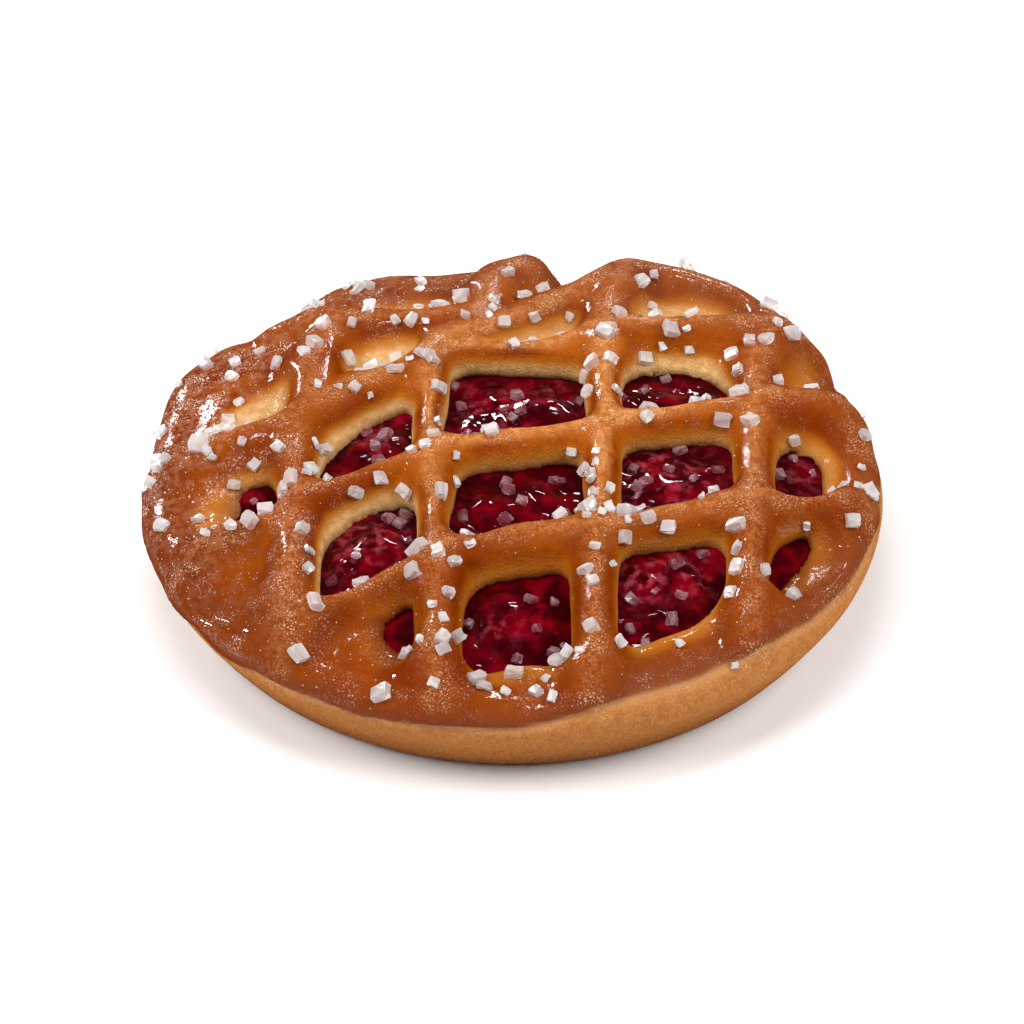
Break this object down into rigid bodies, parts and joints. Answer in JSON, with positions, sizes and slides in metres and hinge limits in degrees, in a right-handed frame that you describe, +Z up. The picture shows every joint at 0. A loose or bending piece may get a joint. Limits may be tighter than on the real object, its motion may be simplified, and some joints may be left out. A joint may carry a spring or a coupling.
{
  "type": "cherry tart",
  "caption": "Round cherry tart: a leaning dough case, a domed dough lattice baked over cherry jelly, and coarse sugar crystals on top.",
  "frame": {"origin": "middle of the flat underside", "axes": "+Z up; -Y is the front, the side the lid slopes down to; +X is to the right seen from the front"},
  "size_m": [0.1098, 0.1084, 0.0267],
  "materials": {
    "crust": "golden-brown egg-washed dough, glossy on top",
    "cherry_filling": "glossy dark red jelly"
  },
  "bodies": {
    "root": {"crust": "crust", "cherry_filling": "cherry_filling"}
  },
  "joints": []
}
